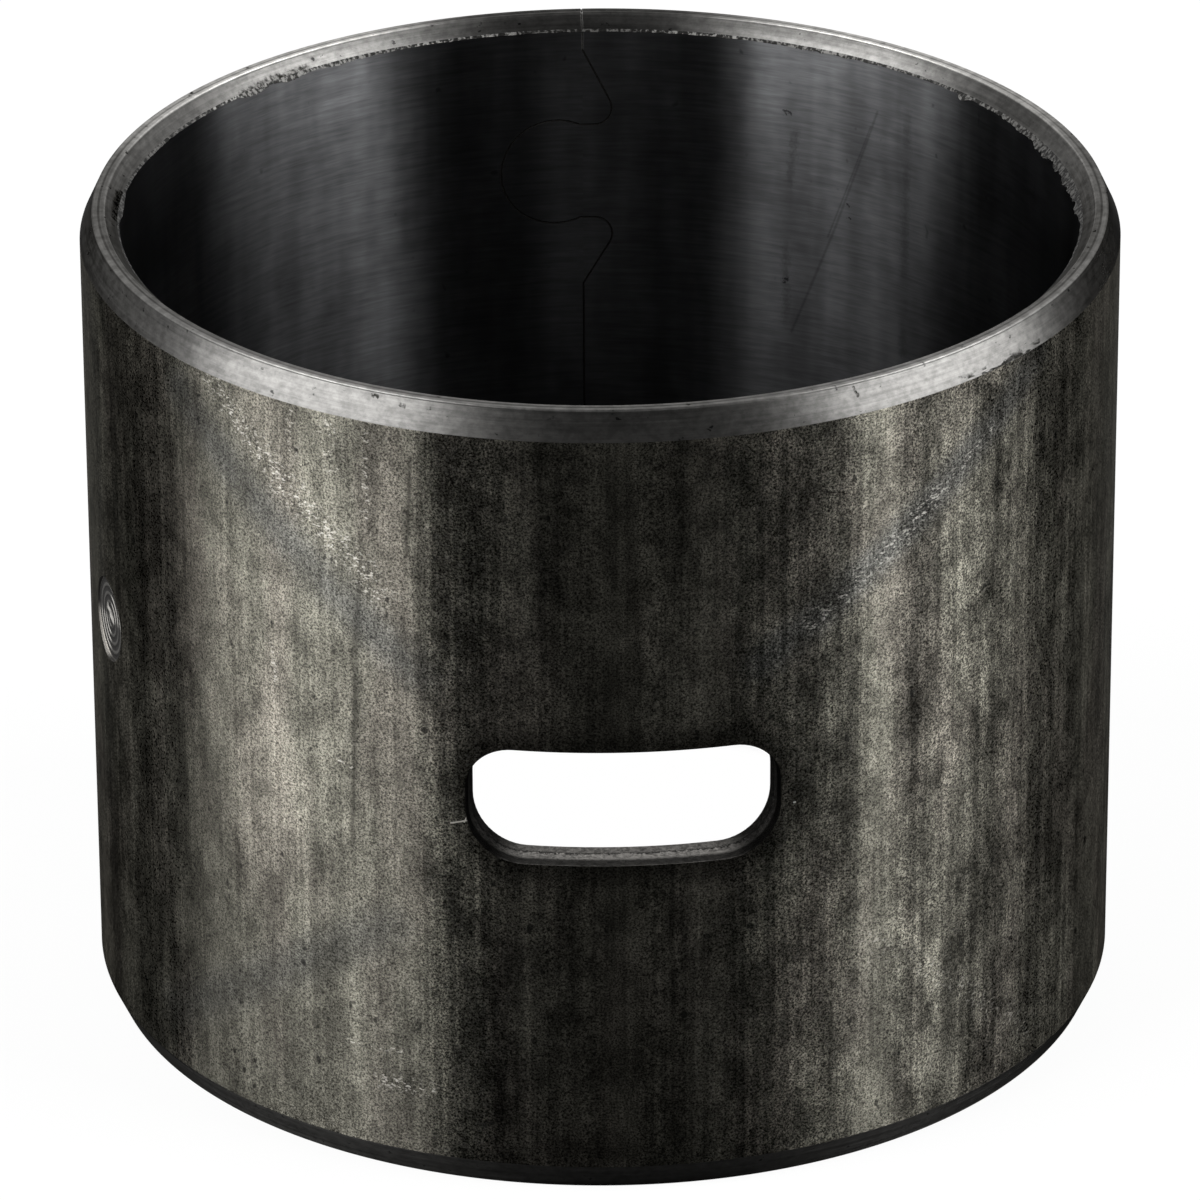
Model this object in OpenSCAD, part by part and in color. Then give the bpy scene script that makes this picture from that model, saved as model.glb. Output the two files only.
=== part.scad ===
// Rolled bushing of steel strip: the two ends of the strip meet in a seam that two clinches lock.
// It stands on one end with its bore along +Z, and the origin is the centre of the lower end.
// The oil slot faces -Y, and the seam runs up the opposite wall, at +Y.

/* [Strip] */
// Diameter over the outside of the rolled strip
outside_d = 55; // [52:0.5:65]
// Thickness of the strip, which is the wall of the bushing
strip_t = 2.1; // [1.9:0.1:3]
// Width of the strip, which is the length of the bushing
bushing_l = 44.6; // [42:0.2:60]

/* [End chamfers] */
// Lead-in chamfer round the outside, length along the bore
lead_l = 1.5; // [0.4:0.1:2.5]
// Lead-in chamfer round the outside, depth into the wall
lead_depth = 0.7; // [0.2:0.05:0.9]
// Chamfer at each mouth of the bore, depth into the wall at 45 degrees
mouth_depth = 0.8; // [0.2:0.05:0.9]

/* [Oil slot] */
// Length of the slot, round the outside
slot_l = 16.6; // [8:0.2:30]
// Width of the slot, along the bore
slot_w = 6.6; // [5.6:0.2:12]
// Radius of the slot's corners
slot_corner_r = 2.7; // [0.5:0.1:2.8]
// Height of the slot's middle over the middle of the bushing
slot_rise = 0.2; // [-4:0.1:4]

/* [Locating spot] */
// Diameter of the shallow round spot in the outside
spot_d = 4.6; // [2:0.1:8]
// Depth of the spot at its middle
spot_depth = 0.35; // [0.15:0.05:1]
// Turn from the slot to the spot, clockwise from above
spot_turn = 74.2; // [40:0.2:140]
// Height of the spot's middle over the middle of the bushing
spot_rise = 1.9; // [-10:0.1:10]

/* [Clinched seam] */
// Width of the fine gap along the seam
seam_gap = 0.12; // [0.06:0.01:0.3]
// Distance along the seam between the middles of the two clinches
clinch_pitch = 26.2; // [18:0.2:29]
// Radius of a tongue's round head
head_r = 3.1; // [2.9:0.05:3.8]
// Distance from the seam line to the middle of the head
head_reach = 1.5; // [1:0.1:3]
// Width of a tongue's neck
neck_w = 5.6; // [3:0.1:5.7]
// Radius of the round nose of the lips beside the neck
lip_r = 0.8; // [0.3:0.05:1.2]
// Distance from the seam line to the middle of a lip's nose
lip_reach = 0.7; // [0.2:0.1:1.4]
// Distance from the middle of a clinch to the foot of a lip's ramp
lip_foot = 6.8; // [5.4:0.1:7.6]

/* [Hidden] */
outer_r = outside_d / 2;
bore_r = outer_r - strip_t;
mid_l = bushing_l / 2;
clinch_z = [mid_l - clinch_pitch / 2, mid_l + clinch_pitch / 2];
// How far cutters run past the faces that they open
past = 1;
// The middle of a lip's nose, from the seam line and the middle of its clinch
lip_nose = [lip_reach, neck_w / 2 + lip_r];
// The ramp leaves its foot at the seam line and is tangent to the nose
ramp_foot = [0, lip_foot];
ramp_chord = lip_nose - ramp_foot;
ramp_angle = atan2(ramp_chord.y, ramp_chord.x) + asin(lip_r / norm(ramp_chord));
ramp_along = [cos(ramp_angle), sin(ramp_angle)];
ramp_normal = [-ramp_along.y, ramp_along.x];
$fn = 160;

// Section of the strip, right of the bore's axis, with its four chamfers
module strip_section() {
    polygon([
        [bore_r + mouth_depth, 0],
        [outer_r - lead_depth, 0],
        [outer_r, lead_l],
        [outer_r, bushing_l - lead_l],
        [outer_r - lead_depth, bushing_l],
        [bore_r + mouth_depth, bushing_l],
        [bore_r, bushing_l - mouth_depth],
        [bore_r, mouth_depth],
    ]);
}

// One end of the slot: two round corners and the straight edge between them
module slot_end() {
    corner_rise = slot_w / 2 - slot_corner_r;
    for (side = [-1, 1]) translate([0, side * corner_rise]) circle(slot_corner_r);
    square([2 * slot_corner_r, 2 * corner_rise], center = true);
}

// The slot's walls point at the bore's axis, as in a strip that is punched flat and then rolled
module oil_slot() {
    corner_turn = (slot_l / 2 - slot_corner_r) / outer_r * 180 / PI;
    translate([0, 0, mid_l + slot_rise]) {
        for (side = [-1, 1])
            rotate([90, 0, side * corner_turn]) linear_extrude(outer_r + past) slot_end();
        rotate([0, 0, -90 - corner_turn]) rotate_extrude(angle = 2 * corner_turn)
            translate([bore_r - past, -slot_w / 2]) square([strip_t + 2 * past, slot_w]);
    }
}

// A shallow round recess with a flat floor
module locating_spot() {
    translate([0, 0, mid_l + spot_rise]) rotate([90, 0, -spot_turn])
        translate([0, 0, outer_r - spot_depth]) cylinder(d = spot_d, h = spot_depth + past);
}

// The lip above a neck: a round nose, and a ramp that runs on past the seam line
module lip(grow) {
    run_on = 2;
    nose_low = lip_nose.y - lip_r - grow;
    ramp_start = ramp_foot - run_on * ramp_along + grow * ramp_normal;
    translate(lip_nose) circle(lip_r + grow);
    polygon([
        lip_nose + (lip_r + grow) * ramp_normal,
        ramp_start,
        [ramp_start.x, nose_low],
        [lip_nose.x, nose_low],
    ]);
}

// A tongue that reaches across the seam line: its neck and its round head
module tongue(grow) {
    translate([-head_reach, 0]) circle(head_r + grow);
    translate([-head_reach, -neck_w / 2 - grow]) square([head_reach, neck_w + 2 * grow]);
}

// The end of the strip that carries the tongues, as seen from outside the bore's axis
module tongue_end(grow) {
    difference() {
        translate([-grow, -past]) square([head_r + lip_foot, bushing_l + 2 * past]);
        for (z = clinch_z, side = [0, 1]) translate([0, z]) mirror([0, side]) lip(-grow);
    }
    for (z = clinch_z) translate([0, z]) tongue(grow);
}

// The seam is the fine gap between the tongue end and the pocket end
module seam() {
    translate([0, outer_r + past, 0]) rotate([90, 0, 0]) linear_extrude(2 * strip_t + past)
        difference() {
            tongue_end(seam_gap / 2);
            tongue_end(-seam_gap / 2);
        }
}

module bushing_shell() {
    color([0.26, 0.26, 0.25])
    difference() {
        rotate_extrude() strip_section();
        oil_slot();
        locating_spot();
        seam();
    }
}

bushing_shell();
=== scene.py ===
"""Rolled steel bushing with a clinched seam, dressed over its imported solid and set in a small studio."""

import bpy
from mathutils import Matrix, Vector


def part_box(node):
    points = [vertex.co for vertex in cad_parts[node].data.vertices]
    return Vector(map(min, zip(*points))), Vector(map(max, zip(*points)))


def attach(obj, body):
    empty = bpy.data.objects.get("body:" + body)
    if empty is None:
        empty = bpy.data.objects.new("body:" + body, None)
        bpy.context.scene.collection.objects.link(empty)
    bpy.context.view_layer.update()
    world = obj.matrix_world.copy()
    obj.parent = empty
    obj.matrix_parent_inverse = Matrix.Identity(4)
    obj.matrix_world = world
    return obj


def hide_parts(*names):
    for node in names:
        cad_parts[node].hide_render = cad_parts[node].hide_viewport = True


bl_info = {
    "name": "Rolled bushing",
    "version": (1, 0, 0),
    "blender": (4, 5, 0),
    "location": "3D Viewport > Sidebar > Bushing",
    "description": "Models a rolled steel bushing with a clinched seam and the studio that shows it",
    "category": "Mesh",
}

import math
import random

import bpy
from bpy.props import FloatProperty, FloatVectorProperty, IntProperty, PointerProperty
from mathutils import Quaternion, Vector

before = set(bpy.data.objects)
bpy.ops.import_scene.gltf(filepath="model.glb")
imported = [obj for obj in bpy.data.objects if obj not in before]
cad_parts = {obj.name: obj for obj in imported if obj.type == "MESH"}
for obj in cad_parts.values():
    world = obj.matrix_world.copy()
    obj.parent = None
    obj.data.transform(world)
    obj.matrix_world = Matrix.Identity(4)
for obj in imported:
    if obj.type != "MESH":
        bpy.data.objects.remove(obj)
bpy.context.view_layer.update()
SHELL_LOW, SHELL_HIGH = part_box("bushing_shell")
MM = 0.001

# The finishes are laid out in millimetres: radius over the outside, and about the middle of the wall
OUTSIDE_R, MIDDLE_R = 27.5, 26.5


# ---- Sizes and colours that a user would change ----

def length(name, description, default):
    """A property for a length in metres."""
    return FloatProperty(name=name, description=description, default=default, unit="LENGTH", precision=5)


def shade(name, description, default):
    """A property for a colour."""
    return FloatVectorProperty(name=name, description=description, default=default, size=3,
                               subtype="COLOR", min=0, max=1)


class StripSizes(bpy.types.PropertyGroup):
    outside_d: length("Outside diameter", "Diameter over the rolled strip", SHELL_HIGH.x - SHELL_LOW.x)
    wall: length("Wall", "Thickness of the strip", 2.1 * MM)
    width: length("Length", "Width of the strip, which is the length of the bushing",
                  SHELL_HIGH.z - SHELL_LOW.z)
    lead_l: length("Lead-in length", "Outside chamfer, along the bore", 1.5 * MM)
    lead_depth: length("Lead-in depth", "Outside chamfer, into the wall", 0.7 * MM)
    mouth_depth: length("Mouth depth", "Chamfer at each mouth of the bore, at 45 degrees", 0.8 * MM)
    edge: length("Edge break", "Width of the broken edges", 0.05 * MM)
    columns: IntProperty(name="Columns", description="Flats round the bushing", default=720, min=48)


class SeamSizes(bpy.types.PropertyGroup):
    gap: length("Gap", "Width of the gap between the strip's ends, which all but touch", 0.002 * MM)
    edge: length("Edge break", "Width of the broken edges beside the gap", 0.055 * MM)
    pitch: length("Clinch pitch", "Distance between the middles of the two clinches", 26.2 * MM)
    head_r: length("Head radius", "Radius of a tongue's round head", 3.1 * MM)
    head_reach: length("Head reach", "From the seam line to the middle of the head", 1.5 * MM)
    neck_w: length("Neck width", "Width of a tongue's neck", 5.6 * MM)
    lip_r: length("Lip radius", "Radius of the nose of the lips beside the neck", 1.0 * MM)
    lip_reach: length("Lip reach", "From the seam line to the middle of a lip's nose", 0.62 * MM)
    lip_foot: length("Lip foot", "From the middle of a clinch to the foot of the ramp between the clinches",
                     6.8 * MM)
    end_foot: length("End foot", "The same for the ramp towards the bushing's end", 7.3 * MM)


class SlotSizes(bpy.types.PropertyGroup):
    half_l: length("Half length", "Half the slot's length on the bore side", 7.78 * MM)
    shift: length("Shift", "How far the slot's middle lies to the right of the front", 0.08 * MM)
    taper: length("Taper", "How much nearer the slot's ends are on the outside", 0.22 * MM)
    width: length("Width", "Width of the slot along the bore", 6.46 * MM)
    upper_r: length("Upper corners", "Radius of the slot's upper corners", 2.35 * MM)
    lower_r: length("Lower corners", "Radius of the slot's lower corners", 2.85 * MM)
    height: length("Height", "Height of the slot's middle", 22.44 * MM)
    rollover: length("Rollover", "Width of the edge that the punch drew in", 0.05 * MM)


class SpotSizes(bpy.types.PropertyGroup):
    radius: length("Radius", "Radius of the round locating spot", 2.3 * MM)
    depth: length("Depth", "Depth of the spot at its middle", 0.2 * MM)
    height: length("Height", "Height of the spot's middle", 24.2 * MM)
    turn: FloatProperty(name="Turn", description="Turn from the slot to the spot, clockwise from above",
                        default=math.radians(74.2), subtype="ANGLE")
    groove_pitch: length("Groove pitch", "Distance between the turned grooves in the spot's floor", 0.46 * MM)
    groove_depth: length("Groove depth", "Depth of those grooves", 0.04 * MM)


class BurrSizes(bpy.types.PropertyGroup):
    fringe: length("Fringe", "Reach of the ragged fringe round the upper mouth", 0.07 * MM)
    flap: length("Flap", "Reach of the few larger flaps", 0.46 * MM)
    columns: IntProperty(name="Columns", description="Steps round the fringe", default=1800, min=48)
    seed: IntProperty(name="Seed", description="Choice of ragged pattern", default=7)


class FinishColours(bpy.types.PropertyGroup):
    skin: shade("Rolled skin", "Dark rolled outside", (0.094, 0.0905, 0.083))
    fleck: shade("Bright fleck", "Bare grains that show in the rolled skin", (0.62, 0.60, 0.55))
    turned: shade("Turned steel", "Bright chamfers and end faces", (0.112, 0.110, 0.106))
    bored: shade("Bored steel", "Smooth inside of the bushing", (0.090, 0.091, 0.094))
    punched: shade("Punched steel", "Walls of the slot and the seam", (0.10, 0.096, 0.09))
    # The grooved colour is that of the painted highlights on the spot's ridges, and of the chisel mark
    grooved: shade("Grooved steel", "Ridges in the floor of the locating spot", (0.54, 0.525, 0.495))
    burr: shade("Burr", "Grey teeth of the ragged fringe", (0.125, 0.123, 0.118))
    packed: shade("Packed dirt", "What fills the broken edges of the seam", (0.007, 0.0067, 0.0063))


class StudioSettings(bpy.types.PropertyGroup):
    lens: FloatProperty(name="Lens", description="Focal length on a 36 mm square sensor", default=272.98)
    distance: length("Distance", "Camera to the point it looks at", 490.85 * MM)
    elevation: FloatProperty(name="Elevation", description="Camera above the horizon",
                             default=math.radians(25.786), subtype="ANGLE")
    roll: FloatProperty(name="Roll", description="Turn of the camera about its own axis",
                        default=math.radians(-0.2778), subtype="ANGLE")
    turn: FloatProperty(name="Turn", description="Turn of the bushing against the camera",
                        default=math.radians(2.1), subtype="ANGLE")
    lamp: FloatProperty(name="Softbox radiance", description="Brightness of the two tall softboxes",
                        default=8.0)


# ---- Shader expressions ----

class Link:
    """An output socket of a shader node, which takes part in Python expressions."""

    def __init__(self, tree, socket):
        self.tree, self.socket = tree, socket

    def node(self, kind, settings=None, sockets=None, output=0):
        """Adds a node: its settings come first, then its sockets' values or links, named or numbered."""
        made = self.tree.nodes.new("ShaderNode" + kind)
        for name, value in (settings or {}).items():
            setattr(made, name, value)
        for key, value in (sockets or {}).items():
            if isinstance(value, Link):
                self.tree.links.new(value.socket, made.inputs[key])
            else:
                made.inputs[key].default_value = value
        return Link(self.tree, made.outputs[output])

    def math(self, operation, *values):
        """Adds a node that does sums."""
        return self.node("Math", {"operation": operation}, dict(enumerate(values)))

    def __add__(self, other):
        return self.math("ADD", self, other)

    def __sub__(self, other):
        return self.math("SUBTRACT", self, other)

    def __rsub__(self, other):
        return self.math("SUBTRACT", other, self)

    def __mul__(self, other):
        return self.math("MULTIPLY", self, other)

    def __truediv__(self, other):
        return self.math("DIVIDE", self, other)

    def __pow__(self, other):
        return self.math("POWER", self, other)

    def __abs__(self):
        return self.math("ABSOLUTE", self)

    __radd__ = __add__
    __rmul__ = __mul__


def new_material(name):
    """An empty material and the link of its Object coordinates."""
    material = bpy.data.materials.new(name)
    material.use_nodes = True
    material.node_tree.nodes.clear()
    coordinates = material.node_tree.nodes.new("ShaderNodeTexCoord")
    return material, Link(material.node_tree, coordinates.outputs["Object"])


def noise_at(spot, detail, roughness):
    """Noise from 0 to 1 at a spot in the space that the noise fills."""
    return spot.node("TexNoise", {}, {"Vector": spot, "Scale": 1.0, "Detail": detail,
                                      "Roughness": roughness})


def noise(place, factors, detail, roughness):
    """Noise from 0 to 1, with one frequency per metre for each axis."""
    spot = place.node("VectorMath", {"operation": "MULTIPLY"}, {0: place, 1: factors})
    return noise_at(spot, detail, roughness)


def between(value, low, high):
    """A smooth step from 0 at low to 1 at high."""
    return value.node("MapRange", {"interpolation_type": "SMOOTHSTEP"}, {0: value, 1: low, 2: high})


def spread_noise(place, factors, detail, roughness):
    """Noise whose values fill the range from 0 to 1."""
    return between(noise(place, factors, detail, roughness), 0.3, 0.7)


def swing(value, depth):
    """A factor that swings about 1 by that depth either way, as the value goes from 0 to 1."""
    return (1 - depth) + value * (2 * depth)


def blend(factor, low, high):
    """One colour over another."""
    return factor.node("Mix", {"data_type": "RGBA"}, {0: factor, 6: low, 7: high}, output=2)


def tint(rgb, factor):
    """A colour multiplied by a value."""
    return factor.node("VectorMath", {"operation": "SCALE"}, {0: tuple(rgb), "Scale": factor})


def colour(rgb):
    """A colour with its alpha."""
    return (*rgb, 1.0)


def toned(rgb, factors):
    """A colour with its alpha, each channel multiplied by a factor."""
    return colour([channel * factor for channel, factor in zip(rgb, factors)])


def round_the_bushing(place):
    """Turn from the slot in radians, radius and height in millimetres."""
    split = place.node("SeparateXYZ", {}, {0: place})
    x, y, z = (Link(place.tree, split.socket.node.outputs[i]) for i in range(3))
    turn = x.math("ARCTAN2", x, y * -1.0)
    radius = (x * x + y * y) ** 0.5
    return turn, radius * (1 / MM), z * (1 / MM)


def spread_wall(turn, height, shaken=0.0):
    """The wall laid flat, in millimetres round the bushing and up, with places shaken by that much."""
    wall = turn.node("CombineXYZ", {}, {0: turn * OUTSIDE_R, 1: height})
    if not shaken:
        return wall
    shake = wall.node("TexNoise", {}, {"Vector": wall, "Scale": 3.5, "Detail": 3.0, "Roughness": 0.6},
                      output=1)
    shake = shake.node("VectorMath", {"operation": "SUBTRACT"}, {0: shake, 1: (0.5, 0.5, 0.5)})
    shake = shake.node("VectorMath", {"operation": "SCALE"}, {0: shake, "Scale": 2 * shaken})
    return wall.node("VectorMath", {"operation": "ADD"}, {0: wall, 1: shake})


def wipe(wall, start, end, half_width, softness=1.0):
    """A soft stroke on the laid-out wall, from start to end, each in degrees and millimetres."""
    first, last = (Vector((math.radians(turn) * OUTSIDE_R, height, 0)) for turn, height in (start, end))
    run = last - first
    reach = wall.node("VectorMath", {"operation": "SUBTRACT"}, {0: wall, 1: tuple(first)})
    along = wall.node("VectorMath", {"operation": "DOT_PRODUCT"},
                      {0: reach, 1: tuple(run / run.length_squared)}, output=1)
    along = along.node("Clamp", {}, {0: along})
    foot = wall.node("VectorMath", {"operation": "SCALE"}, {0: tuple(run), "Scale": along})
    away = wall.node("VectorMath", {"operation": "DISTANCE"}, {0: reach, 1: foot}, output=1)
    return 1 - between(away, half_width * (1 - softness), half_width)


def strokes(wall, marks, softness=0.6):
    """The strongest of several strokes. Each mark is a start, an end and a half width."""
    total = wipe(wall, *marks[0], softness)
    for mark in marks[1:]:
        total = total.math("MAXIMUM", total, wipe(wall, *mark, softness))
    return total


def washes(wall, marks):
    """Soft strokes added up. Each mark is a start, an end, a half width, a softness and a strength."""
    return sum(wipe(wall, *mark[:4]) * mark[4] for mark in marks)


def metal(material, place, sockets, constants):
    """The Principled shader and the output of a material."""
    shader = place.node("BsdfPrincipled", {}, {**constants, **sockets})
    output = place.tree.nodes.new("ShaderNodeOutputMaterial")
    place.tree.links.new(shader.socket, output.inputs["Surface"])
    return material


def lined(edge, stretch):
    """Constants of a metal with fine lines: its glancing reflection and how far highlights stretch."""
    return {"Metallic": 1.0, "Specular Tint": (edge, edge, edge, 1), "Anisotropic": stretch,
            "Anisotropic Rotation": 0.25}


def bump(place, height, distance, strength=1.0, below=None):
    """The normal that a height gives, over the one below."""
    sockets = {"Height": height, "Distance": distance, "Strength": strength}
    if below is not None:
        sockets["Normal"] = below
    return place.node("Bump", {}, sockets)


def beside_slot(turn, height):
    """Distance outside the slot's outline, in millimetres along the outside wall."""
    half_straight_l, half_straight_w, corner_r, middle = 5.6, 0.65, 2.65, 22.5
    side, rise = abs(turn * OUTSIDE_R) - half_straight_l, abs(height - middle) - half_straight_w
    side, rise = side.math("MAXIMUM", side, 0.0), rise.math("MAXIMUM", rise, 0.0)
    return (side * side + rise * rise) ** 0.5 - corner_r


# ---- Dark colours, marks, and painted light and shade on the surfaces ----

# The pit black colours real pits, and also the painted shade of the line in the punched walls
PIT_AND_SHADE_BLACK, TURNED_PIT_BLACK = (0.006, 0.006, 0.006, 1), (0.01, 0.01, 0.01, 1)
SCALE_BLACK, GROOVE_BLACK = (0.006, 0.0058, 0.005, 1), (0.03, 0.029, 0.028, 1)

# A stroke is a start, an end and a half width. A wash has a softness and a strength too.
# Starts and ends are in degrees from the slot and millimetres up, and half widths in millimetres.

FLECK_TRAIL = (((-50, 43.6), (-41.6, 39.9), 1.1), ((-41.6, 39.9), (-26.5, 33.8), 1.5))
FOOT_FLECKS = (((-31, 7.2), (-24.5, 7.3), 0.22), ((-27, 5.4), (-21.5, 5.3), 0.75))
SHORT_FLECKS = (((-40.4, 29.2), (-39.8, 27.1), 0.28), ((-31.7, 23.5), (-30.2, 23.3), 0.18))
EDGE_FLECKS = (((-27.8, 43.2), (-27.9, 37.6), 0.4), ((-37.0, 43.0), (-37.0, 40.6), 0.6),
               ((-32.5, 42.4), (-31.8, 40.2), 0.9))
RIGHT_FLECKS = (((44, 39.7), (36, 37.2), 0.6), ((36, 37.2), (21, 32.0), 1.1))
RIGHT_FOOT_FLECKS = (((28, 13.0), (54, 3.0), 1.1, 0.9, 0.3),)
SCRATCHES = (((-18.6, 21.15), (-16.7, 21.42), 0.06), ((-17.1, 21.3), (-16.7, 21.75), 0.05),
             ((18.8, 21.9), (18.95, 21.9), 0.07))
AXIAL_LINES = (((-29.0, 34.0), (-30.2, 19.0), 0.28), ((-22.6, 41.5), (-23.2, 36.0), 0.2))
COOL_WIPES = (((-54, 41.5), (-22, 29.5), 2.0, 1.0, 1.0), ((52, 42.6), (15, 30.2), 1.7, 0.9, 1.2),
              ((-26, 14.6), (-58, 4.6), 2.0, 1.0, 0.7))
# Painted shade and painted highlight on the rolled skin: upright bands that darken it, and bands that mostly
# lighten it (one darkens), which shape its bright reflection bands
PAINTED_SHADE_BANDS = (((-16.4, 0), (-16.8, 45), 3.3, 0.75, 0.68), ((-7, 0), (-7, 45), 3.8, 0.9, 0.34),
              ((4, 0), (4, 45), 3.6, 1.0, 0.34), ((18, 0), (19, 45), 5.2, 0.6, 0.58),
              ((50, 0), (50, 45), 8.6, 0.35, 0.46), ((33.2, 0), (33.6, 45), 2.0, 1.0, 0.50),
              ((44, 0), (44.5, 45), 2.6, 1.0, 0.24), ((53, 0), (53, 45), 3.0, 1.0, 0.24),
              ((-60, 0), (-60, 45), 5.0, 0.9, 0.45), ((-70, 0), (-70, 45), 5.0, 0.8, 0.30))
PAINTED_LIGHT_BANDS = (((-42, 18), (-42, 45), 4.5, 0.9, 0.20), ((-37, 16), (-37, 4), 5.0, 1.0, -0.24),
              ((-32, 33), (-33, 45), 2.2, 1.0, 0.15), ((28, 0), (28.5, 45), 1.6, 1.0, 0.30))

MOUTH_SCALE = (((-132.0, 43.75), (-136.8, 43.82), 0.34), ((-137.8, 43.88), (-143.3, 43.86), 0.30),
               ((-143.0, 43.72), (-152.0, 43.74), 0.16), ((-90.0, 43.95), (-98.0, 43.90), 0.34))
EDGE_NICKS = (((-27.3, 44.40), (-26.8, 44.36), 0.13), ((-24.0, 44.15), (-23.6, 44.10), 0.12),
              ((26.2, 44.40), (26.5, 44.00), 0.12))
DASHED_EDGE = ((41, 43.2), (53, 43.2), 0.30)

BORE_SCRATCHES = (((140.9, 41.0), (147.0, 33.4), 0.15), ((147.0, 33.4), (153.0, 26.6), 0.15),
                  ((141.9, 40.0), (148.0, 32.8), 0.11))
BORE_STAINS = (((152.6, 38.6), (154.0, 33.5), 0.42), ((154.0, 33.5), (153.7, 27.0), 0.42),
               ((136.2, 41.6), (136.6, 27.0), 0.5))
BORE_DOTS = (((154.1, 39.8), (153.4, 39.8), 0.20), ((153.9, 29.7), (153.6, 29.7), 0.2),
             ((145.2, 35.0), (145.0, 35.0), 0.14), ((145.2, 34.2), (145.0, 34.2), 0.14))
# A painted highlight streak on the back of the bore
PAINTED_BORE_HIGHLIGHT = ((-156, 20), (-153.5, 38), 3.4)

CHISEL_MARK = ((-75.4, 24.7), (-73.2, 24.2), 0.22)
# Painted highlights along a few stretches of the burr fringe
BURR_PAINTED_HIGHLIGHTS = (((-171, 43.7), (-160, 43.7), 1.5), ((160, 43.7), (170, 43.7), 1.5),
               ((-130.5, 43.7), (-127.5, 43.7), 0.9))


# ---- Finishes ----

def rolled_skin(colours):
    """Dark rolled surface: fine salt-and-pepper grain, axial streaks, soft pits and old wipe marks, with
    upright bands of painted shade and painted highlight.
    """
    material, place = new_material("rolled_skin")
    turn, _, height = round_the_bushing(place)
    wall = spread_wall(turn, height)
    grain = between(noise(place, (9200, 9200, 9400), 3, 0.75), 0.33, 0.67)
    hair = spread_noise(place, (2600, 2600, 60), 2, 0.6)
    streak = spread_noise(place, (560, 560, 32), 3, 0.55)
    drift = spread_noise(place, (230, 230, 26), 2, 0.5)
    patch = spread_noise(place, (95, 95, 60), 3, 0.6)
    cloud = noise(place, (440, 440, 320), 5, 0.78)
    tone = noise(place, (190, 190, 50), 3, 0.6)
    patchy, cloudy = between(cloud, 0.36, 0.58), between(cloud, 0.3, 0.7)

    flecked = (strokes(wall, FLECK_TRAIL, 0.9) * patchy
               + strokes(wall, FOOT_FLECKS, 0.9) * 0.75
               + strokes(wall, SHORT_FLECKS, 0.9) * 0.8
               + strokes(wall, EDGE_FLECKS, 0.9) * patchy * 0.8
               + strokes(wall, RIGHT_FLECKS, 0.9) * patchy * 0.6
               + washes(wall, RIGHT_FOOT_FLECKS) * patchy)
    scratch = strokes(wall, SCRATCHES, 0.7)
    axial = strokes(spread_wall(turn, height, 0.12), AXIAL_LINES, 1.0)
    cool_wipes = washes(wall, COOL_WIPES)
    cool_wipes = cool_wipes.math("MINIMUM", cool_wipes, 1.2) * (0.55 + patchy * 0.45)
    # Painted shade and painted highlight in upright bands round the skin
    painted_shade_bands, painted_light_bands = washes(wall, PAINTED_SHADE_BANDS), washes(wall, PAINTED_LIGHT_BANDS)
    halo = 1 - between(beside_slot(turn, height), 0.1, 1.9)

    olive, brown, grey = (1.0, 1.0, 0.905), (1.025, 0.99, 0.915), (0.97, 1.0, 1.0)
    base = blend(between(tone, 0.42, 0.62), toned(colours.skin, olive), toned(colours.skin, brown))
    base = blend(cool_wipes * 0.85, base, toned(colours.skin, grey))
    body = swing(grain, 0.78) * swing(hair, 0.20) * swing(streak, 0.13) * swing(drift, 0.14)
    body = (body * swing(cloudy, 0.44) * swing(patch, 0.16)) ** (1 + painted_shade_bands * 1.3)
    body = body * (1 - cool_wipes * 0.34) * (1 - axial * (0.3 + grain * 0.3))
    body = body * (1 - painted_shade_bands) * (1 + painted_light_bands) * (1 - halo * 0.6)
    base = base.node("VectorMath", {"operation": "SCALE"}, {0: base, "Scale": body})
    flecks = between(noise(place, (3600, 3600, 7400), 2, 0.6) + flecked * 0.03, 0.55, 0.68)
    base = blend(flecks * (0.035 + flecked * 0.56) + scratch * 0.5, base, colour(colours.fleck))
    pits = between(noise(place, (1750, 1750, 1500), 1, 0.5), 0.70, 0.78)
    base = blend(pits * 0.75, base, PIT_AND_SHADE_BLACK)

    rough = 0.36 + streak * 0.08 + grain * 0.06 - flecked * 0.05
    normal = bump(place, grain + hair * 0.3, 0.005 * MM)
    normal = bump(place, drift + streak * 0.3, 0.02 * MM, 0.6, normal)
    return metal(material, place, {"Base Color": base, "Roughness": rough, "Normal": normal},
                 lined(0.42, 0.95))


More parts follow.
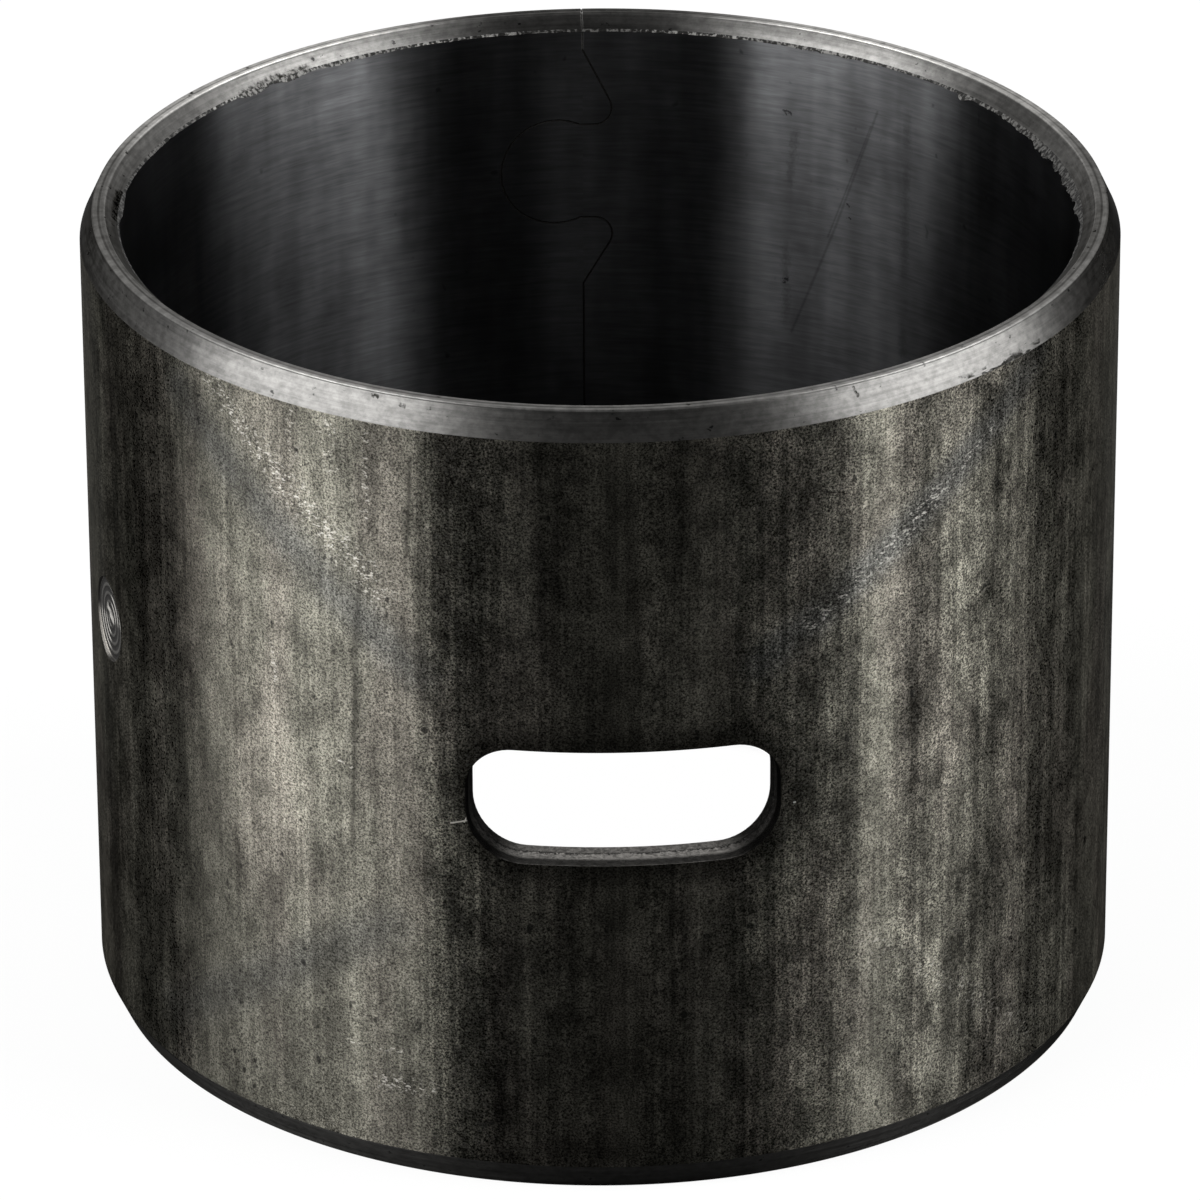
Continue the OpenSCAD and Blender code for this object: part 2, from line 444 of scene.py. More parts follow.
def turned_steel(colours):
    """Bright turned metal: fine lines round the bushing, dark pits, scale where the tool missed, and painted
    highlight and shade that vary round the bushing.
    """
    material, place = new_material("turned_steel")
    turn, radius, height = round_the_bushing(place)
    wall = spread_wall(turn, height, 0.22)
    ring = place.node("CombineXYZ", {}, {0: turn * 2.5, 1: radius * 5.0, 2: height * 5.0})
    line = noise_at(ring, 4.0, 0.7)
    fine = noise(place, (4000, 4000, 4000), 2, 0.6)
    pit = between(noise(place, (1500, 1500, 2000), 3, 0.6), 0.66, 0.73)
    mottle = spread_noise(place, (1500, 1500, 2200), 4, 0.7)
    flaky = between(noise(place, (2600, 2600, 3800), 3, 0.7), 0.35, 0.62)
    missed = strokes(wall, MOUTH_SCALE) * (1 - between(radius, 26.25, 26.4)) + strokes(wall, EDGE_NICKS)
    dashes = between(noise(place, (700, 700, 3000), 2, 0.6), 0.50, 0.56) * wipe(wall, *DASHED_EDGE)

    # Where on the turned faces a place lies. Heights and radii are in millimetres, turns in radians.
    middle, groove_r, turned_away = 22.3, 26.47, abs(turn)
    end_face = between(abs(height - middle), 22.2, 22.28)
    groove = 1 - between(abs(radius - groove_r), 0.03, 0.09)
    inside = 1 - between(radius, 26.15, 26.25)
    # Masks for painted shade by turn and height: on the low lead-in, more on the right, on the mouth chamfers
    # at the far right and the seam side, and on the outer chamfers at the right. The rear term is painted
    # highlight on the end faces' rear sides and painted shade at their back middle
    low = 1 - between(height, 1.4, 1.9)
    right = between(turn, 0.5, 0.9)
    painted_shade_far_right = between(turn, 1.7, 2.05) - between(turn, 2.12, 2.45)
    painted_shade_outer_right = between(turn, 0.90, 1.15) - between(turn, 1.5, 1.7)
    painted_rear_light_and_shade = between(turned_away, 1.75, 2.05) * 2.7 - between(turned_away, 2.67, 2.95) * 3.8
    painted_shade_seam_side = between(turned_away, 2.85, 3.0)

    base = (0.42 + line * 1.1) * swing(mottle, 0.22)
    # The end faces are brighter, with painted highlight on their rear sides and painted shade at the back
    # middle
    base = base * (1 + end_face * (1.2 + painted_rear_light_and_shade)) * (1 - end_face * groove * 0.45)
    # The mouth chamfers are brighter, save for painted shade at the far right and at the seam side
    base = base * (1 + inside * (0.5 - painted_shade_far_right * 0.7 - painted_shade_seam_side * 0.7))
    # Painted shade on the outer chamfers at the right
    base = base * (1 - painted_shade_outer_right * (1 - end_face) * (1 - inside) * 0.45)
    # Painted shade darkens the low lead-in, more on the right
    base = tint(colours.turned, base * (1 - low * (0.45 + right * 0.25)))
    base = blend(pit * 0.85, base, TURNED_PIT_BLACK)
    base = blend((missed * (0.32 + flaky * 0.68) + dashes) * 0.98, base, SCALE_BLACK)
    rough = 0.32 + line * 0.12 + fine * 0.06
    off_middle = radius - MIDDLE_R
    crown = off_middle * off_middle * -0.4
    normal = bump(place, crown * end_face, 1.0 * MM, 1.0, bump(place, line, 0.008 * MM))
    return metal(material, place, {"Base Color": base, "Roughness": rough, "Normal": normal},
                 lined(0.25, 0.75))


def bored_steel(colours):
    """Smooth bored inside: close lines round the bore, a few scratches along it and small dark spots, under
    painted light and shade that vary round and up the bore.
    """
    material, place = new_material("bored_steel")
    turn, _, height = round_the_bushing(place)
    wall, shaky = spread_wall(turn, height), spread_wall(turn, height, 0.45)
    wave = noise(place, (60, 60, 20), 2, 0.5)
    ring = place.node("CombineXYZ", {}, {0: turn * 6.0, 1: 0.0, 2: height * 4.0 + wave * 1.6})
    line = between(noise_at(ring, 3.0, 0.6), 0.3, 0.7)
    mottle = spread_noise(place, (460, 460, 6500), 3, 0.7)
    streak = spread_noise(place, (420, 420, 18), 2, 0.6)
    smudge = spread_noise(place, (230, 230, 150), 3, 0.6)
    spots = between(noise(place, (1300, 1300, 1100), 1, 0.5), 0.745, 0.83)
    scratched = (strokes(wall, BORE_SCRATCHES, 1.0)
                 + strokes(shaky, BORE_STAINS, 1.0) * between(smudge, 0.1, 0.6))
    dotted = strokes(shaky, BORE_DOTS)

    turned_away = abs(turn)
    # Painted light and shade: towards the top the bore is lighter, but darker round the front and sides, with
    # a painted highlight streak at the back left and more painted light beside the seam
    painted_shade_near_side = 1 - between(turned_away, 2.1, 2.25)
    painted_light_and_shade = (between(height, 37, 42) * 0.35 + 1) * (1 - painted_shade_near_side * between(height, 33, 40) * 0.5)
    painted_light_and_shade = painted_light_and_shade * (1 + wipe(wall, *PAINTED_BORE_HIGHLIGHT) * 0.55)
    painted_light_and_shade = painted_light_and_shade * (1 + between(turned_away, 2.84, 2.97) * 0.9)
    base = swing(line, 0.12) * swing(streak, 0.16) * swing(smudge, 0.24) * swing(mottle, 0.10) * painted_light_and_shade
    base = tint(colours.bored, base * (1 - scratched * 0.27) * (1 - dotted * 0.7) * (1 - spots * 0.4))
    rough = 0.275 + line * 0.015
    normal = bump(place, line, 0.001 * MM)
    return metal(material, place, {"Base Color": base, "Roughness": rough, "Normal": normal},
                 lined(0.5, 0.97))


def punched_steel(colours):
    """Sheared wall of the slot and the seam: smooth on the bore side, torn beyond a dark line, with painted
    shade on that line, along the drawn-in outer edge and on the slot's end walls.
    """
    material, place = new_material("punched_steel")
    turn, radius, _ = round_the_bushing(place)
    tear = between(noise(place, (4600, 4600, 4600), 4, 0.75), 0.25, 0.75)

    # The radii, in millimetres, are those of the dark line, which is painted shade of a fine groove, of the
    # torn part's start and of its dark outer edge, which is painted shade where the drawn-in edge turns away
    ragged_r = radius + (tear - 0.5) * 0.3
    line = between(ragged_r, 26.06, 26.12) - between(ragged_r, 26.17, 26.23)
    torn, painted_rim_shade = between(ragged_r, 26.12, 26.18), between(ragged_r, 26.70, 26.95)
    # The slot's end walls are darkened: painted shade
    painted_shade_slot_end = between(abs(turn * MIDDLE_R), 4.8, 6.8)
    shown = (2.2 + torn * 0.6) * (1 - painted_rim_shade * 0.85) * (1 - painted_shade_slot_end * 0.9)
    base = blend(line * 0.85, tint(colours.punched, swing(tear, 0.65) * shown), PIT_AND_SHADE_BLACK)
    normal = bump(place, tear, 0.03 * MM)
    return metal(material, place, {"Base Color": base, "Roughness": 0.42 + tear * 0.15, "Normal": normal},
                 {"Metallic": 1.0, "Specular Tint": (0.5, 0.5, 0.5, 1)})


def grooved_steel(colours, spot):
    """Floor of the locating spot: a few turned ridges, with a chisel mark beside their middle, and painted
    highlights on the ridges in two opposite quadrants.
    """
    material, place = new_material("grooved_steel")
    turn, _, height = round_the_bushing(place)
    floor_r = 27.2
    side, rise = (turn + spot.turn) * floor_r, height - spot.height / MM
    away = (side * side + rise * rise) ** 0.5
    phase = away * (math.tau / (spot.groove_pitch / MM))
    ridge = phase.math("COSINE", phase)
    # Painted highlight: the ridges are bright in two opposite quadrants and dark between
    highlight_quadrants = between(side * rise / (away * away + 0.05), -0.05, 0.30)
    chisel = wipe(spread_wall(turn, height), *CHISEL_MARK, 0.5)
    painted_ridge_highlight = between(ridge, 0.1, 0.8) * (0.12 + highlight_quadrants * 0.88) * between(away, 0.3, 0.7)
    base = blend(painted_ridge_highlight + chisel * 0.9, GROOVE_BLACK, colour(colours.grooved))
    normal = bump(place, ridge, 0.02 * MM)
    return metal(material, place, {"Base Color": base, "Normal": normal},
                 {"Metallic": 1.0, "Roughness": 0.62})


def burr_steel(colours):
    """Ragged fringe: grey teeth and dark roots, with painted highlights along a few stretches."""
    material, place = new_material("burr_steel")
    turn, _, height = round_the_bushing(place)
    tooth = between(noise(place, (5200, 5200, 1500), 2, 0.6), 0.44, 0.62)
    # Painted highlights on the fringe's teeth along a few stretches
    bright = strokes(spread_wall(turn, height), BURR_PAINTED_HIGHLIGHTS, 0.5)
    base = tint(colours.burr, (0.15 + tooth * 0.85) * (1 + bright * tooth * 0.8))
    return metal(material, place, {"Base Color": base}, {"Metallic": 1.0, "Roughness": 0.5})


def packed_dirt(colours):
    """What fills the broken edges of the seam."""
    material, place = new_material("packed_dirt")
    grit = noise(place, (4000, 4000, 4000), 1, 0.5)
    return metal(material, place, {"Base Color": tint(colours.packed, 0.5 + grit)},
                 {"Roughness": 0.8, "Specular IOR Level": 0.0})


# ---- Modelling helpers ----

SMOOTH_ANGLE = math.radians(32)


def begin():
    """Object mode with nothing selected."""
    if bpy.context.object and bpy.context.object.mode != "OBJECT":
        bpy.ops.object.mode_set(mode="OBJECT")
    bpy.ops.object.select_all(action="DESELECT")


def keep_only(obj):
    """Selects one object and makes it active."""
    begin()
    obj.select_set(True)
    bpy.context.view_layer.objects.active = obj


def pick(obj, kind, wanted):
    """In edit mode, selects the edges or polygons that wanted says yes to, from their corners."""
    bpy.ops.mesh.select_mode(type={"edges": "EDGE", "polygons": "FACE"}[kind])
    bpy.ops.mesh.select_all(action="DESELECT")
    bpy.ops.object.mode_set(mode="OBJECT")
    mesh = obj.data
    points = [v.co for v in mesh.vertices]
    for item in getattr(mesh, kind):
        item.select = bool(wanted([points[i] for i in item.vertices]))
    bpy.ops.object.mode_set(mode="EDIT")


def cut_away(obj, cutter):
    """Takes the cutter out of the object and removes it."""
    keep_only(obj)
    modifier = obj.modifiers.new("cut", "BOOLEAN")
    modifier.operation, modifier.solver, modifier.object = "DIFFERENCE", "EXACT", cutter
    bpy.ops.object.modifier_apply(modifier=modifier.name)
    bpy.data.objects.remove(cutter)


def slice_off(place, normal):
    """Cuts all that lies beyond a plane and closes the cut."""
    bpy.ops.mesh.select_all(action="SELECT")
    bpy.ops.mesh.bisect(plane_co=place, plane_no=normal, use_fill=True, clear_outer=True, threshold=1e-8)


def arc(middle, radius, start, end, steps):
    """Points on an arc, angles in degrees."""
    turns = [math.radians(start + (end - start) * i / steps) for i in range(steps + 1)]
    return [(middle[0] + radius * math.cos(a), middle[1] + radius * math.sin(a)) for a in turns]


def seam_edge(seam, width, grow):
    """One end of the strip, bottom to top: (distance past the seam line, height), grown by half the gap."""
    nose = Vector((seam.lip_reach, seam.neck_w / 2 + seam.lip_r))
    neck, head = seam.neck_w / 2 + grow, seam.head_r + grow
    meet = math.degrees(math.asin(neck / head))
    head_steps, nose_steps = 20, 12

    def half(lip_foot):
        """Half a clinch, from the tip of its head round the lip's nose to the foot of the ramp."""
        chord = nose - Vector((0, lip_foot))
        slope = math.degrees(math.atan2(chord.y, chord.x) + math.asin(seam.lip_r / chord.length)) + 90
        return (arc((-seam.head_reach, 0), head, 180, meet, head_steps)
                + arc(tuple(nose), seam.lip_r - grow, -90, slope, nose_steps)
                + [(-grow, lip_foot - grow * math.tan(math.radians(slope) / 2))])

    inner, outer = half(seam.lip_foot), half(seam.end_foot)
    low, high = width / 2 - seam.pitch / 2, width / 2 + seam.pitch / 2
    points = [(-grow, 0.0)]
    for middle, below, above in ((low, outer, inner), (high, inner, outer)):
        lower = [(x, -z) for x, z in reversed(below)]
        points += [(x, middle + z) for x, z in lower[:-1] + above]
    points.append((-grow, width))
    return [(-x, z) for x, z in points]


def new_flat(outline):
    """A flat sheet in the XZ plane with that outline, which runs anticlockwise."""
    begin()
    bpy.ops.mesh.primitive_circle_add(vertices=len(outline), radius=0.05, fill_type="NGON")
    sheet = bpy.context.object
    for vertex, (x, z) in zip(sheet.data.vertices, outline):
        vertex.co = (x, 0.0, z)
    return sheet


def flat_strip(strip, seam):
    """The punched strip before it is rolled: its outside faces -Y, and y = 0 is the bore side."""
    reach = math.pi * (strip.outside_d / 2 - strip.wall)
    tongue = [(reach + x, z) for x, z in seam_edge(seam, strip.width, -seam.gap / 2)]
    pocket = [(-reach + x, z) for x, z in seam_edge(seam, strip.width, seam.gap / 2)]
    sheet = new_flat(tongue + pocket[::-1])
    bpy.ops.object.mode_set(mode="EDIT")
    bpy.ops.mesh.select_all(action="SELECT")
    bpy.ops.mesh.extrude_region_move(TRANSFORM_OT_translate={"value": (0, -strip.wall, 0)})
    top, outside = strip.width, -strip.wall
    for end, side in ((0.0, -1), (top, 1)):
        slice_off((0, outside + strip.lead_depth, end), (0, -strip.lead_l, side * strip.lead_depth))
        slice_off((0, -strip.mouth_depth, end), (0, 1, side))
    bpy.ops.mesh.select_all(action="SELECT")
    bpy.ops.mesh.normals_make_consistent(inside=False)
    return sheet


def break_edges(sheet, strip, seam):
    """Breaks the turned edges that run along the strip, and the punched edges of the seam."""
    # In metres: what counts as touching, what is longer than any edge of the seam, and where that lies
    touch, long_edge, seam_start = 1e-7, 0.05, 0.07
    chamfer_start = strip.width / 2 - strip.lead_l - 1e-6

    def turned_edge(ends):
        a, b = ends
        return abs(a.z - b.z) < touch and abs(a.y - b.y) < touch and abs(a.x - b.x) > long_edge

    def seam_edge_line(ends):
        a, b = ends
        on_face = (all(abs(p.y) < touch or abs(p.y + strip.wall) < touch for p in ends)
                   and abs(a.y - b.y) < touch and abs(a.x - b.x) < long_edge)
        near_end = abs(a.x - b.x) < touch and all(abs(p.z - strip.width / 2) > chamfer_start for p in ends)
        return min(abs(a.x), abs(b.x)) > seam_start and (on_face or near_end)

    pick(sheet, "edges", turned_edge)
    bpy.ops.mesh.bevel(offset=strip.edge, offset_type="OFFSET", segments=2, affect="EDGES")
    pick(sheet, "edges", seam_edge_line)
    bpy.ops.mesh.bevel(offset=seam.edge, offset_type="OFFSET", segments=1, affect="EDGES")


def slot_cutter(strip, slot):
    """A block with round corners, as long and wide as the slot."""
    begin()
    bpy.ops.mesh.primitive_cube_add(size=1, location=(0, -strip.wall / 2, slot.height),
                                    scale=(2 * slot.half_l, strip.wall * 2, slot.width))
    bpy.ops.object.transform_apply()
    block = bpy.context.object
    bpy.ops.object.mode_set(mode="EDIT")
    for side, radius in ((1, slot.upper_r), (-1, slot.lower_r)):
        pick(block, "edges", lambda ends: abs(ends[0].y - ends[1].y) > strip.wall
             and all(p.z * side > slot.height * side and abs(p.x) > 0.99 * slot.half_l for p in ends))
        bpy.ops.mesh.bevel(offset=radius, offset_type="OFFSET", segments=14, affect="EDGES")
    begin()
    for vertex in block.data.vertices:
        vertex.co.x *= 1 + vertex.co.y / strip.wall * slot.taper / slot.half_l
        vertex.co.x += slot.shift
    return block


def draw_in_slot(sheet, strip, slot):
    """Rounds the slot's outer edge, which the punch drew in."""
    touch, slack = 1e-6, 1e-5

    def outer_edge(ends):
        return all(abs(p.y + strip.wall) < touch and abs(p.x - slot.shift) < slot.half_l + slack
                   and abs(p.z - slot.height) < slot.width / 2 + slack for p in ends)

    keep_only(sheet)
    bpy.ops.object.mode_set(mode="EDIT")
    pick(sheet, "edges", outer_edge)
    bpy.ops.mesh.bevel(offset=slot.rollover, offset_type="OFFSET", segments=4, profile=0.5, affect="EDGES")


def roll_up(sheet, strip):
    """Cuts the strip into columns and bends it round the bore's axis."""
    keep_only(sheet)
    bore_r = strip.outside_d / 2 - strip.wall
    reach = math.pi * bore_r
    bpy.ops.object.mode_set(mode="EDIT")
    bpy.ops.mesh.select_mode(type="FACE")
    column = 2 * reach / strip.columns
    tongue_reach = 5 * MM
    for i in range(strip.columns + int(tongue_reach / column)):
        x = -reach + column * (i + 0.5)
        bpy.ops.mesh.select_all(action="SELECT")
        bpy.ops.mesh.bisect(plane_co=(x, 0, 0), plane_no=(1, 0, 0), threshold=1e-8)
    bpy.ops.object.mode_set(mode="OBJECT")
    for vertex in sheet.data.vertices:
        turn, radius = vertex.co.x / bore_r, bore_r - vertex.co.y
        vertex.co = (radius * math.sin(turn), -radius * math.cos(turn), vertex.co.z)
    sheet.data.update()


def spot_cutter(strip, spot):
    """A round tool whose end leaves turned grooves, laid on the spot's own axis."""
    begin()
    height = 2 * MM
    bpy.ops.mesh.primitive_cylinder_add(vertices=64, radius=spot.radius, depth=height, end_fill_type="NGON")
    tool = bpy.context.object
    bpy.ops.object.mode_set(mode="EDIT")
    pick(tool, "polygons", lambda ends: all(p.z < 0 for p in ends))
    rings = int(spot.radius / (spot.groove_pitch / 2)) - 1
    for i in range(rings):
        step = spot.groove_depth if i % 2 else -spot.groove_depth
        bpy.ops.mesh.inset(thickness=spot.groove_pitch / 2, depth=step, use_boundary=True)
    bpy.ops.object.mode_set(mode="OBJECT")
    away = strip.outside_d / 2 - spot.depth + height / 2
    turn = -spot.turn
    for vertex in tool.data.vertices:
        side, rise, out = vertex.co.x, vertex.co.y, vertex.co.z + away
        vertex.co = (out * math.sin(turn) + side * math.cos(turn),
                     -out * math.cos(turn) + side * math.sin(turn), rise + spot.height)
    tool.data.update()
    bpy.ops.object.mode_set(mode="EDIT")
    bpy.ops.mesh.select_all(action="SELECT")
    bpy.ops.mesh.normals_make_consistent(inside=False)
    begin()
    return tool


def finish_of(face, strip, spot):
    """The place in the shell's list of finishes that a face takes, by where it lies and faces."""
    skin, turned, bored, punched, grooved, packed = range(6)
    outer_r, bore_r = strip.outside_d / 2, strip.outside_d / 2 - strip.wall
    near, straight, seam_reach, seam_break = 0.15 * MM, 0.97, 6 * MM, 0.2 * MM
    end_reach = strip.lead_l + 0.1 * MM
    spot_reach, spot_low, spot_high = spot.radius * 1.03, bore_r + 1 * MM, outer_r - 0.03 * MM
    x, y, z = face.center
    radius = math.hypot(x, y)
    lean = face.normal.dot(Vector((x, y, 0)).normalized())
    in_seam = y > 0 and abs(x) < seam_reach and abs(face.normal.z) < 0.999
    aside = math.hypot((math.atan2(x, -y) + spot.turn) * radius, z - spot.height)
    if aside < spot_reach and spot_low < radius < spot_high:
        return grooved
    if lean > straight and radius > outer_r - near:
        return skin
    if lean < -straight and radius < bore_r + near:
        return bored
    if z < end_reach or z > strip.width - end_reach:
        # The seam's broken edges shine on the upper chamfers, and are packed on the lower ones
        packed_from = 0.9 if z > strip.width / 2 else 0.3
        return packed if in_seam and abs(x) < seam_break and abs(face.normal.x) > packed_from else turned
    return packed if in_seam else punched


def finish_shell(shell, strip, spot):
    """Clean normals, smooth shading and one finish for each kind of surface."""
    keep_only(shell)
    bpy.ops.object.mode_set(mode="EDIT")
    bpy.ops.mesh.select_all(action="SELECT")
    bpy.ops.mesh.remove_doubles(threshold=1e-7)
    bpy.ops.mesh.normals_make_consistent(inside=False)
    bpy.ops.object.mode_set(mode="OBJECT")
    bpy.ops.object.shade_smooth_by_angle(angle=SMOOTH_ANGLE)
    colours = bpy.context.scene.bushing_finish
    for material in (rolled_skin(colours), turned_steel(colours), bored_steel(colours),
                     punched_steel(colours), grooved_steel(colours, spot), packed_dirt(colours)):
        shell.data.materials.append(material)
    for face in shell.data.polygons:
        face.material_index = finish_of(face, strip, spot)
    modifier = shell.modifiers.new("even", "WEIGHTED_NORMAL")
    modifier.keep_sharp = True
    bpy.ops.object.modifier_apply(modifier=modifier.name)


class BUSHING_OT_shell(bpy.types.Operator):
    """Punch the strip, roll it up and finish its surfaces"""
    bl_idname = "bushing.shell"
    bl_label = "Rolled shell"

    def execute(self, context):
        scene = context.scene
        strip, seam = scene.bushing_strip, scene.bushing_seam
        slot, spot = scene.bushing_slot, scene.bushing_spot
        shell = flat_strip(strip, seam)
        break_edges(shell, strip, seam)
        cut_away(shell, slot_cutter(strip, slot))
        draw_in_slot(shell, strip, slot)
        roll_up(shell, strip)
        cut_away(shell, spot_cutter(strip, spot))
        shell.name = "rolled_shell"
        finish_shell(shell, strip, spot)
        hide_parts("bushing_shell")
        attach(shell, "root")
        return {"FINISHED"}


# Torn flaps round the upper mouth: start and end in degrees from the slot, and size
FLAPS = ((84.0, 97.0, 0.7), (93.0, 104.5, 1.0), (103.5, 111.0, 0.8), (109.5, 118.0, 0.5), (125.5, 127.5, 0.6),
         (-137.0, -131.6, 0.50), (-143.4, -137.6, 0.42), (-151.0, -144.4, 0.26), (-98.5, -90.0, 0.45))


def ragged(rng, steps, count):
    """A closed random profile: random heights from 0 to 1, joined smoothly into count values."""
    heights = [rng.random() for _ in range(steps)]
    values = []
    for i in range(count):
        whole, part = divmod(i * steps / count, 1)
        part = part * part * (3 - 2 * part)
        low, high = heights[int(whole)], heights[(int(whole) + 1) % steps]
        values.append(low + (high - low) * part)
    return values


def flap_rise(turn):
    """How far the torn flaps stand at that turn in degrees, from 0 to 1."""
    return max(size * max(0.0, math.sin(math.pi * min(max(turn - start, 0.0) / (end - start), 1.0))) ** 0.5
               for start, end, size in FLAPS)


def closed_ring(count, step):
    """A ring whose section is a triangle: its three lines have radii of one, two and three steps."""
    begin()
    bpy.ops.mesh.primitive_circle_add(vertices=count, radius=step)
    ring = bpy.context.object
    bpy.ops.object.mode_set(mode="EDIT")
    bpy.ops.mesh.select_all(action="SELECT")
    for factor in (2, 1.5):
        bpy.ops.mesh.extrude_edges_move()
        bpy.ops.transform.resize(value=(factor, factor, 1))
    bpy.ops.mesh.select_all(action="DESELECT")
    bpy.ops.mesh.select_mode(type="EDGE")
    bpy.ops.mesh.select_non_manifold()
    bpy.ops.mesh.bridge_edge_loops()
    bpy.ops.object.mode_set(mode="OBJECT")
    return ring


class BUSHING_OT_fringe(bpy.types.Operator):
    """Raise the ragged burr round the upper mouth of the bore"""
    bl_idname = "bushing.fringe"
    bl_label = "Burr fringe"

    def execute(self, context):
        strip, burr = context.scene.bushing_strip, context.scene.bushing_burr
        rng = random.Random(burr.seed)
        count = burr.columns
        broad, middling, close, rough = (ragged(rng, n, count) for n in (24, 260, 560, 1100))
        step = 0.01
        fringe = closed_ring(count, step)
        bore_r = strip.outside_d / 2 - strip.wall
        edge = strip.width - strip.mouth_depth
        for vertex in fringe.data.vertices:
            turn = math.atan2(vertex.co.x, -vertex.co.y)
            i = round((turn / math.tau + 0.5) * count) % count
            rise = flap_rise(math.degrees(turn))
            reach = burr.fringe * (0.2 + broad[i] * 0.8) * (0.3 + middling[i] * 0.7 + close[i] ** 2 * 0.9)
            reach = max(reach, burr.flap * rise * (0.55 + middling[i] * 0.5)) * (0.8 + rough[i] * 0.35)
            # Radius and height of the root on the chamfer, of the tip and of the foot in the bore
            section = ((bore_r + 0.09 * MM, edge + 0.095 * MM), (bore_r - reach * 0.9, edge - reach),
                       (bore_r + 0.01 * MM, edge - reach - 0.04 * MM))
            radius, height = section[round(math.hypot(vertex.co.x, vertex.co.y) / step) - 1]
            vertex.co = (radius * math.sin(turn), -radius * math.cos(turn), height)
        fringe.data.update()
        keep_only(fringe)
        bpy.ops.object.mode_set(mode="EDIT")
        bpy.ops.mesh.select_all(action="SELECT")
        bpy.ops.mesh.normals_make_consistent(inside=False)
        bpy.ops.object.mode_set(mode="OBJECT")
        bpy.ops.object.shade_smooth_by_angle(angle=SMOOTH_ANGLE)
        fringe.name = "mouth_fringe"
        fringe.data.materials.append(burr_steel(context.scene.bushing_finish))
        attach(fringe, "root")
        return {"FINISHED"}


# ---- Studio ----

# Azimuth in degrees from the camera's side, then lower edge, upper edge, width and distance in metres
SOFTBOXES = ((-67, 0.02, 0.75, 0.62, 0.60), (75, 0.02, 0.75, 0.56, 0.60))


def floor_material():
    """Pale floor that the camera sees as white and that keeps the shadow, save inside the bore, where the
    shadow is painted out; the metal sees it dim, with painted shade near the bushing.
    """
    material, place = new_material("floor")
    ray = place.node("LightPath")
    camera, glossy, through = (Link(place.tree, ray.socket.node.outputs[name])
                               for name in ("Is Camera Ray", "Is Glossy Ray", "Is Transmission Ray"))
    plain = place.node("BsdfDiffuse", {}, {"Color": (0.8, 0.8, 0.8, 1)})
    split = place.node("SeparateXYZ", {}, {0: place})
    x, y = (Link(place.tree, split.socket.node.outputs[i]) for i in range(2))
    away = (x * x + y * y) ** 0.5
    # Painted shade: the floor that the metal sees fades to dark near the bushing. Inside the bore the floor's
    # shadow is painted out, so the camera sees plain white there
    clear, shadow_painted_out_in_bore = between(away, 0.028, 0.08), 1 - between(away, 0.0245, 0.0265)
    shadow, in_metal = 0.08, 0.18
    white = place.node("Emission", {}, {"Color": (1, 1, 1, 1),
                                        "Strength": camera + through + glossy * clear * in_metal})
    shown = place.node("MixShader", {}, {0: (camera + through + glossy) * ((1 - shadow) + shadow_painted_out_in_bore * shadow),
                                         1: plain, 2: white})
    output = place.tree.nodes.new("ShaderNodeOutputMaterial")
    place.tree.links.new(shown.socket, output.inputs["Surface"])
    return material


def place_softbox(azimuth, low, high, width, distance, radiance):
    """A tall softbox that faces the bushing. Azimuth is in degrees from the camera's side."""
    turn = math.radians(azimuth)
    middle = Vector((math.sin(turn) * distance, -math.cos(turn) * distance, (low + high) / 2))
    bpy.ops.object.light_add(type="AREA", location=middle)
    lamp = bpy.context.object
    lamp.data.shape = "RECTANGLE"
    lamp.data.size, lamp.data.size_y = width, high - low
    lamp.data.energy = radiance * math.pi * width * (high - low)
    lamp.rotation_euler = (Vector((0, 0, middle.z)) - middle).to_track_quat("-Z", "Y").to_euler()


def studio_world():
    """White for the camera, and for the rest a dim room that is brighter behind the bushing."""
    world = bpy.context.scene.world or bpy.data.worlds.new("studio")
    bpy.context.scene.world = world
    world.use_nodes = True
    world.node_tree.nodes.clear()
    start = world.node_tree.nodes.new("ShaderNodeTexCoord")
    place = Link(world.node_tree, start.outputs["Generated"])
    split = place.node("SeparateXYZ", {}, {0: place})
    back = between(Link(place.tree, split.socket.node.outputs[1]), -0.2, 0.6)
    camera = place.node("LightPath")
    dim, behind = 0.075, 0.7
    strength = camera + (1 - camera) * (dim + back * behind)
    shown = place.node("Background", {}, {"Color": (1, 1, 1, 1), "Strength": strength})
    output = world.node_tree.nodes.new("ShaderNodeOutputWorld")
    world.node_tree.links.new(shown.socket, output.inputs["Surface"])


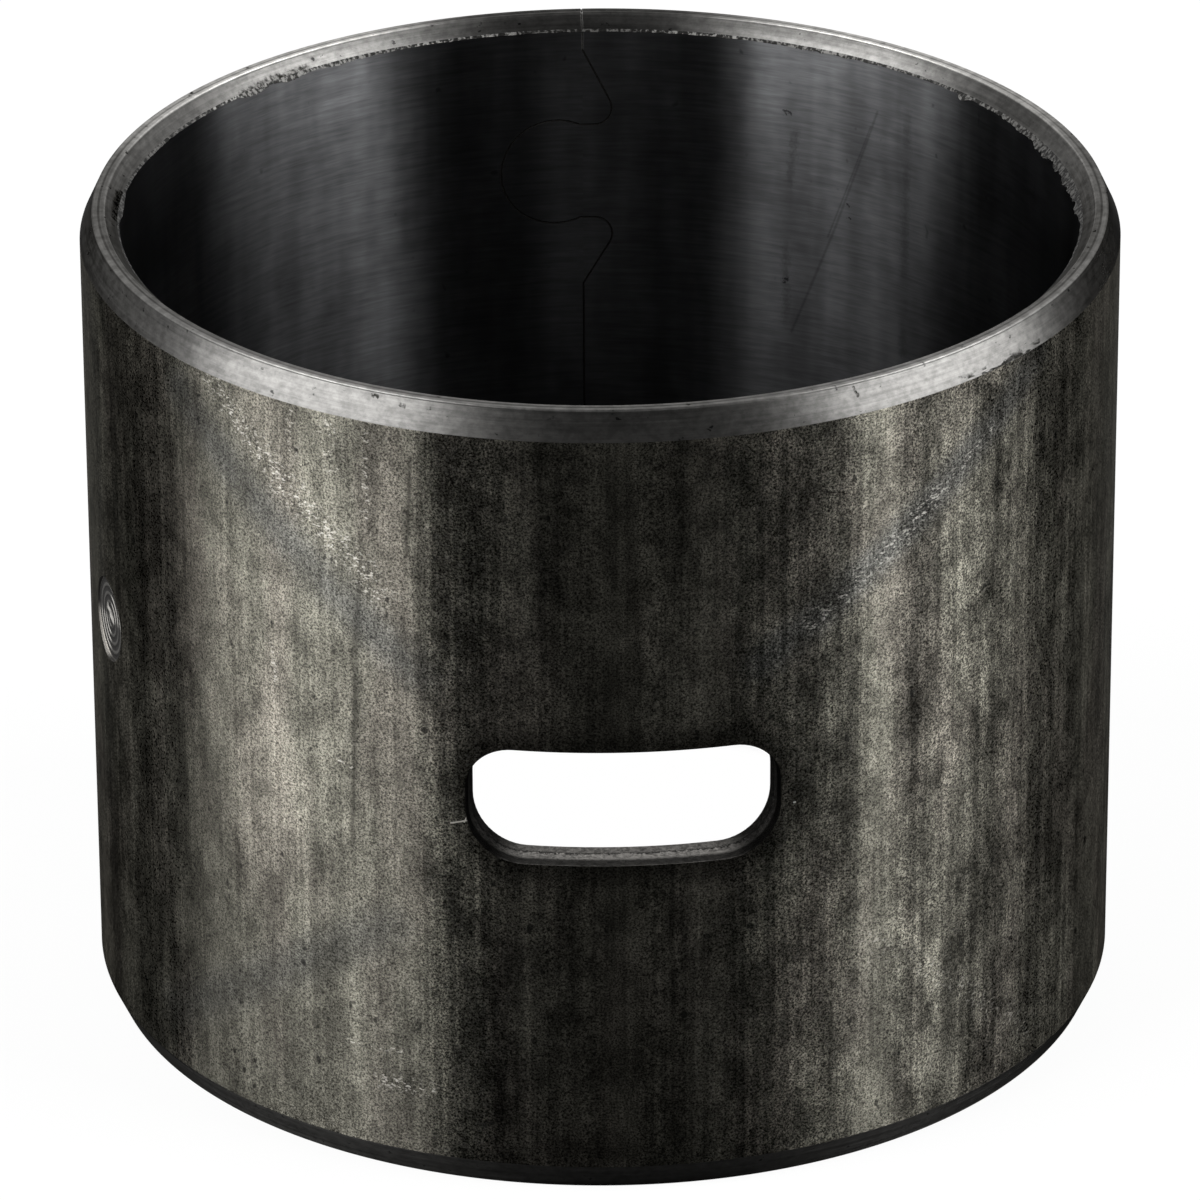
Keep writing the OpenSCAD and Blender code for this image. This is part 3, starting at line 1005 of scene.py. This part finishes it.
def place_camera(studio):
    """The camera at the photograph's angle, looking at the middle of the bushing."""
    side, rise = -0.1, 21.08
    focus = Vector((side, 0, rise)) * MM
    camera = Vector((side * MM, -studio.distance * math.cos(studio.elevation),
                     focus.z + studio.distance * math.sin(studio.elevation)))
    look = (focus - camera).to_track_quat("-Z", "Y")
    spin = Quaternion((0, 0, 1), -studio.turn)
    bpy.ops.object.camera_add(location=spin @ camera)
    lens = bpy.context.object
    lens.rotation_mode = "QUATERNION"
    lens.rotation_quaternion = spin @ look @ Quaternion((0, 0, 1), studio.roll)
    lens.data.sensor_width = 36
    lens.data.lens = studio.lens
    lens.data.clip_start, lens.data.clip_end = 0.01, 20
    bpy.context.scene.camera = lens


class BUSHING_OT_stage(bpy.types.Operator):
    """Set up the pale floor, the softboxes and the camera"""
    bl_idname = "bushing.stage"
    bl_label = "Stage"

    def execute(self, context):
        studio = context.scene.bushing_studio
        begin()
        bpy.ops.mesh.primitive_plane_add(size=6, location=(0, 0, 0))
        floor = context.object
        floor.name = "floor"
        floor.data.materials.append(floor_material())
        for softbox in SOFTBOXES:
            place_softbox(*softbox, studio.lamp)
        studio_world()
        place_camera(studio)
        context.scene.view_settings.view_transform = "Standard"
        return {"FINISHED"}


class BUSHING_PT_sidebar(bpy.types.Panel):
    """Bushing pieces in the sidebar"""
    bl_label = "Rolled bushing"
    bl_idname = "BUSHING_PT_sidebar"
    bl_space_type = "VIEW_3D"
    bl_region_type = "UI"
    bl_category = "Bushing"

    def draw(self, context):
        for group in GROUPS:
            settings = getattr(context.scene, group)
            for name in settings.bl_rna.properties.keys():
                if name not in ("rna_type", "name"):
                    self.layout.prop(settings, name)
        for operator in (BUSHING_OT_shell, BUSHING_OT_fringe, BUSHING_OT_stage):
            self.layout.operator(operator.bl_idname)


GROUPS = {
    "bushing_strip": StripSizes,
    "bushing_seam": SeamSizes,
    "bushing_slot": SlotSizes,
    "bushing_spot": SpotSizes,
    "bushing_burr": BurrSizes,
    "bushing_finish": FinishColours,
    "bushing_studio": StudioSettings,
}
CLASSES = (*GROUPS.values(), BUSHING_OT_shell, BUSHING_OT_fringe, BUSHING_OT_stage, BUSHING_PT_sidebar)


def register():
    for made in CLASSES:
        bpy.utils.register_class(made)
    for name, group in GROUPS.items():
        setattr(bpy.types.Scene, name, PointerProperty(type=group))


def unregister():
    for name in GROUPS:
        delattr(bpy.types.Scene, name)
    for made in reversed(CLASSES):
        bpy.utils.unregister_class(made)


def main():
    """Makes every piece and the stage."""
    register()
    bpy.ops.bushing.shell()
    bpy.ops.bushing.fringe()
    bpy.ops.bushing.stage()


if __name__ == "__main__":
    main()
